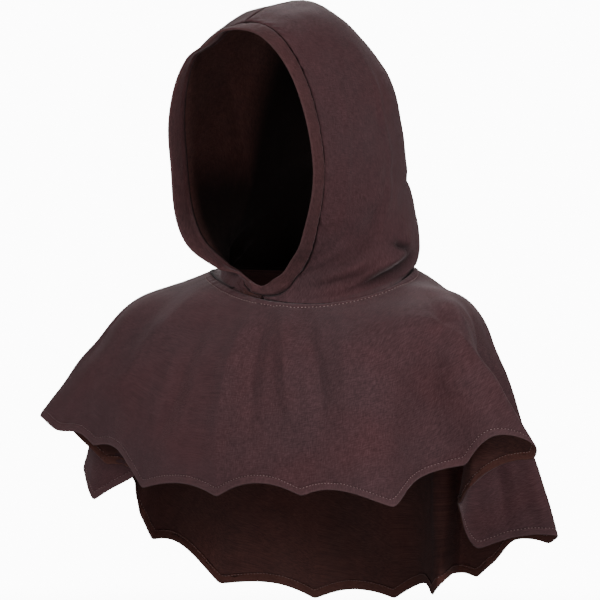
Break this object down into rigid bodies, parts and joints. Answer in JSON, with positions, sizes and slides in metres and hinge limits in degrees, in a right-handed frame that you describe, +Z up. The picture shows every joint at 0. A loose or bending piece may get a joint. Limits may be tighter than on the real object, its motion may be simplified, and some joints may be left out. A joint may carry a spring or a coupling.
{
  "type": "dagged medieval hood with shoulder cape",
  "caption": "Cloth hood with a sewn-on shoulder cape whose hem is cut in pointed scallops, kept in the form it has when worn.",
  "frame": {"origin": "top of the wearer's head: the inner face of the crown, above the centre of the neck seam", "axes": "+Z up, the face opening looks along -Y, +X is the wearer's left"},
  "size_m": [0.6166, 0.3559, 0.679],
  "materials": {
    "cloth": "matt woven cotton, dark mauve brown",
    "face_band": "matt woven cotton, folded casing",
    "facing": "matt woven cotton, darker reddish inner face"
  },
  "bodies": {
    "root": {"hood_left_panel": "cloth", "hood_right_panel": "cloth", "face_band": "face_band", "cape": "cloth", "hem_facing": "facing"}
  },
  "joints": []
}
